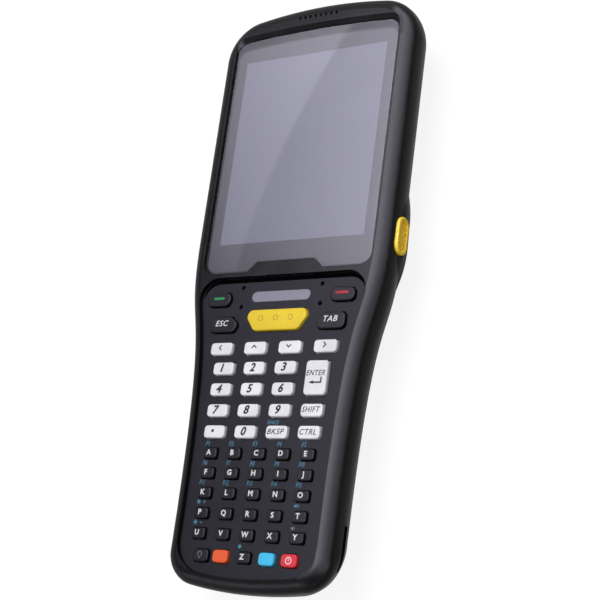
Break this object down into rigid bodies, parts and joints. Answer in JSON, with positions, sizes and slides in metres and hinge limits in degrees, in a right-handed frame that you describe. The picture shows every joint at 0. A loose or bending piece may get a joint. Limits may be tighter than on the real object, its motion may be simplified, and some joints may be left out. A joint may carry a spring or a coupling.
{
  "type": "portable barcode data terminal",
  "caption": "Handheld barcode data terminal with a display, a full keypad in a narrower grip, side scan triggers, a hinged battery door and a hinged port cover.",
  "frame": {"origin": "middle of the back, on the surface the terminal lies on", "axes": "+X to the user's right, +Y towards the head and its scan window, +Z out of the display"},
  "size_m": [0.0782, 0.2016, 0.029],
  "materials": {
    "casing_front": "fine textured black polycarbonate",
    "casing_back": "fine textured black polycarbonate",
    "seal_rubber": "matt black rubber",
    "screw_steel": "blackened steel",
    "display_glass": "clear hardened glass",
    "lcd_panel": "unlit display",
    "keypad_panel": "matt black",
    "silicone": "grey silicone",
    "circuit_board": "green solder mask",
    "light_lens": "satin translucent",
    "chassis_alloy": "cast, bead blasted",
    "shield_steel": "tinned sheet",
    "module_black": "moulded",
    "scan_window": "dark red tinted",
    "battery_wrap": "wrapped",
    "trigger_yellow": "satin yellow",
    "key_yellow": "satin yellow",
    "key_white": "satin white",
    "key_black": "satin black",
    "key_orange": "satin orange",
    "key_blue": "satin light blue",
    "key_red": "satin red"
  },
  "bodies": {
    "casing": {"front_housing": "casing_front", "rear_housing": "casing_back", "housing_seal": "seal_rubber", "housing_screws": "screw_steel", "display_glass": "display_glass", "display_gasket": "seal_rubber", "lcd_module": "lcd_panel", "keypad_panel": "keypad_panel", "keypad_membrane": "silicone", "keypad_board": "circuit_board", "status_light_lens": "light_lens", "chassis_frame": "chassis_alloy", "main_board": "circuit_board", "processor_shield": "shield_steel", "scan_engine": "module_black", "scan_window": "scan_window", "earpiece_speaker": "module_black", "loudspeaker": "module_black", "battery_pack": "battery_wrap", "usb_connector": "shield_steel", "trigger_switches": "module_black", "hinge_pins": "screw_steel"},
    "scan_key": {"scan_key": "key_yellow"},
    "call_key": {"call_key": "key_black"},
    "end_key": {"end_key": "key_black"},
    "escape_key": {"escape_key": "key_black"},
    "tab_key": {"tab_key": "key_black"},
    "arrow_left_key": {"arrow_left_key": "key_white"},
    "arrow_up_key": {"arrow_up_key": "key_white"},
    "arrow_down_key": {"arrow_down_key": "key_white"},
    "arrow_right_key": {"arrow_right_key": "key_white"},
    "digit_0_key": {"digit_0_key": "key_white"},
    "digit_1_key": {"digit_1_key": "key_white"},
    "digit_2_key": {"digit_2_key": "key_white"},
    "digit_3_key": {"digit_3_key": "key_white"},
    "digit_4_key": {"digit_4_key": "key_white"},
    "digit_5_key": {"digit_5_key": "key_white"},
    "digit_6_key": {"digit_6_key": "key_white"},
    "digit_7_key": {"digit_7_key": "key_white"},
    "digit_8_key": {"digit_8_key": "key_white"},
    "digit_9_key": {"digit_9_key": "key_white"},
    "dot_key": {"dot_key": "key_white"},
    "shift_key": {"shift_key": "key_white"},
    "backspace_key": {"backspace_key": "key_white"},
    "control_key": {"control_key": "key_white"},
    "enter_key": {"enter_key": "key_white"},
    "letter_keys_a_to_e": {"letter_keys_a_to_e": "key_black"},
    "letter_keys_f_to_j": {"letter_keys_f_to_j": "key_black"},
    "letter_keys_k_to_o": {"letter_keys_k_to_o": "key_black"},
    "letter_keys_p_to_t": {"letter_keys_p_to_t": "key_black"},
    "letter_keys_u_to_y": {"letter_keys_u_to_y": "key_black"},
    "letter_key_z": {"letter_key_z": "key_black"},
    "backlight_key": {"backlight_key": "key_black"},
    "orange_key": {"orange_key": "key_orange"},
    "blue_key": {"blue_key": "key_blue"},
    "power_key": {"power_key": "key_red"},
    "side_trigger_right": {"side_trigger_right": "trigger_yellow"},
    "side_trigger_left": {"side_trigger_left": "trigger_yellow"},
    "battery_door": {"battery_door": "casing_back"},
    "port_cover": {"port_cover": "seal_rubber"}
  },
  "joints": [
    {"name": "battery_door_hinge", "type": "hinge", "parent": "casing", "child": "battery_door", "pos_m": [0, -0.01158, 0.0017], "axis": [1, 0, 0], "range_deg": [0, 80]},
    {"name": "port_cover_hinge", "type": "hinge", "parent": "casing", "child": "port_cover", "pos_m": [0, -0.09836, 0.0142], "axis": [-1, 0, 0], "range_deg": [0, 100]},
    {"name": "side_trigger_right_press", "type": "slide", "parent": "casing", "child": "side_trigger_right", "axis": [-1, 0, 0], "range_m": [0, 0.0008], "stiffness_N_per_m": 2000},
    {"name": "side_trigger_left_press", "type": "slide", "parent": "casing", "child": "side_trigger_left", "axis": [1, 0, 0], "range_m": [0, 0.0008], "stiffness_N_per_m": 2000},
    {"name": "scan_key_press", "type": "slide", "parent": "casing", "child": "scan_key", "axis": [0, 0, -1], "range_m": [0, 0.0006], "stiffness_N_per_m": 1500},
    {"name": "call_key_press", "type": "slide", "parent": "casing", "child": "call_key", "axis": [0, 0, -1], "range_m": [0, 0.0006], "stiffness_N_per_m": 1500},
    {"name": "end_key_press", "type": "slide", "parent": "casing", "child": "end_key", "axis": [0, 0, -1], "range_m": [0, 0.0006], "stiffness_N_per_m": 1500},
    {"name": "escape_key_press", "type": "slide", "parent": "casing", "child": "escape_key", "axis": [0, 0, -1], "range_m": [0, 0.0006], "stiffness_N_per_m": 1500},
    {"name": "tab_key_press", "type": "slide", "parent": "casing", "child": "tab_key", "axis": [0, 0, -1], "range_m": [0, 0.0006], "stiffness_N_per_m": 1500},
    {"name": "arrow_left_key_press", "type": "slide", "parent": "casing", "child": "arrow_left_key", "axis": [0, 0, -1], "range_m": [0, 0.0006], "stiffness_N_per_m": 1500},
    {"name": "arrow_up_key_press", "type": "slide", "parent": "casing", "child": "arrow_up_key", "axis": [0, 0, -1], "range_m": [0, 0.0006], "stiffness_N_per_m": 1500},
    {"name": "arrow_down_key_press", "type": "slide", "parent": "casing", "child": "arrow_down_key", "axis": [0, 0, -1], "range_m": [0, 0.0006], "stiffness_N_per_m": 1500},
    {"name": "arrow_right_key_press", "type": "slide", "parent": "casing", "child": "arrow_right_key", "axis": [0, 0, -1], "range_m": [0, 0.0006], "stiffness_N_per_m": 1500},
    {"name": "digit_0_key_press", "type": "slide", "parent": "casing", "child": "digit_0_key", "axis": [0, 0, -1], "range_m": [0, 0.0006], "stiffness_N_per_m": 1500},
    {"name": "digit_1_key_press", "type": "slide", "parent": "casing", "child": "digit_1_key", "axis": [0, 0, -1], "range_m": [0, 0.0006], "stiffness_N_per_m": 1500},
    {"name": "digit_2_key_press", "type": "slide", "parent": "casing", "child": "digit_2_key", "axis": [0, 0, -1], "range_m": [0, 0.0006], "stiffness_N_per_m": 1500},
    {"name": "digit_3_key_press", "type": "slide", "parent": "casing", "child": "digit_3_key", "axis": [0, 0, -1], "range_m": [0, 0.0006], "stiffness_N_per_m": 1500},
    {"name": "digit_4_key_press", "type": "slide", "parent": "casing", "child": "digit_4_key", "axis": [0, 0, -1], "range_m": [0, 0.0006], "stiffness_N_per_m": 1500},
    {"name": "digit_5_key_press", "type": "slide", "parent": "casing", "child": "digit_5_key", "axis": [0, 0, -1], "range_m": [0, 0.0006], "stiffness_N_per_m": 1500},
    {"name": "digit_6_key_press", "type": "slide", "parent": "casing", "child": "digit_6_key", "axis": [0, 0, -1], "range_m": [0, 0.0006], "stiffness_N_per_m": 1500},
    {"name": "digit_7_key_press", "type": "slide", "parent": "casing", "child": "digit_7_key", "axis": [0, 0, -1], "range_m": [0, 0.0006], "stiffness_N_per_m": 1500},
    {"name": "digit_8_key_press", "type": "slide", "parent": "casing", "child": "digit_8_key", "axis": [0, 0, -1], "range_m": [0, 0.0006], "stiffness_N_per_m": 1500},
    {"name": "digit_9_key_press", "type": "slide", "parent": "casing", "child": "digit_9_key", "axis": [0, 0, -1], "range_m": [0, 0.0006], "stiffness_N_per_m": 1500},
    {"name": "dot_key_press", "type": "slide", "parent": "casing", "child": "dot_key", "axis": [0, 0, -1], "range_m": [0, 0.0006], "stiffness_N_per_m": 1500},
    {"name": "shift_key_press", "type": "slide", "parent": "casing", "child": "shift_key", "axis": [0, 0, -1], "range_m": [0, 0.0006], "stiffness_N_per_m": 1500},
    {"name": "backspace_key_press", "type": "slide", "parent": "casing", "child": "backspace_key", "axis": [0, 0, -1], "range_m": [0, 0.0006], "stiffness_N_per_m": 1500},
    {"name": "control_key_press", "type": "slide", "parent": "casing", "child": "control_key", "axis": [0, 0, -1], "range_m": [0, 0.0006], "stiffness_N_per_m": 1500},
    {"name": "enter_key_press", "type": "slide", "parent": "casing", "child": "enter_key", "axis": [0, 0, -1], "range_m": [0, 0.0006], "stiffness_N_per_m": 1500},
    {"name": "letter_keys_a_to_e_press", "type": "slide", "parent": "casing", "child": "letter_keys_a_to_e", "axis": [0, 0, -1], "range_m": [0, 0.0006], "stiffness_N_per_m": 1500},
    {"name": "letter_keys_f_to_j_press", "type": "slide", "parent": "casing", "child": "letter_keys_f_to_j", "axis": [0, 0, -1], "range_m": [0, 0.0006], "stiffness_N_per_m": 1500},
    {"name": "letter_keys_k_to_o_press", "type": "slide", "parent": "casing", "child": "letter_keys_k_to_o", "axis": [0, 0, -1], "range_m": [0, 0.0006], "stiffness_N_per_m": 1500},
    {"name": "letter_keys_p_to_t_press", "type": "slide", "parent": "casing", "child": "letter_keys_p_to_t", "axis": [0, 0, -1], "range_m": [0, 0.0006], "stiffness_N_per_m": 1500},
    {"name": "letter_keys_u_to_y_press", "type": "slide", "parent": "casing", "child": "letter_keys_u_to_y", "axis": [0, 0, -1], "range_m": [0, 0.0006], "stiffness_N_per_m": 1500},
    {"name": "letter_key_z_press", "type": "slide", "parent": "casing", "child": "letter_key_z", "axis": [0, 0, -1], "range_m": [0, 0.0006], "stiffness_N_per_m": 1500},
    {"name": "backlight_key_press", "type": "slide", "parent": "casing", "child": "backlight_key", "axis": [0, 0, -1], "range_m": [0, 0.0006], "stiffness_N_per_m": 1500},
    {"name": "orange_key_press", "type": "slide", "parent": "casing", "child": "orange_key", "axis": [0, 0, -1], "range_m": [0, 0.0006], "stiffness_N_per_m": 1500},
    {"name": "blue_key_press", "type": "slide", "parent": "casing", "child": "blue_key", "axis": [0, 0, -1], "range_m": [0, 0.0006], "stiffness_N_per_m": 1500},
    {"name": "power_key_press", "type": "slide", "parent": "casing", "child": "power_key", "axis": [0, 0, -1], "range_m": [0, 0.0006], "stiffness_N_per_m": 1500}
  ]
}
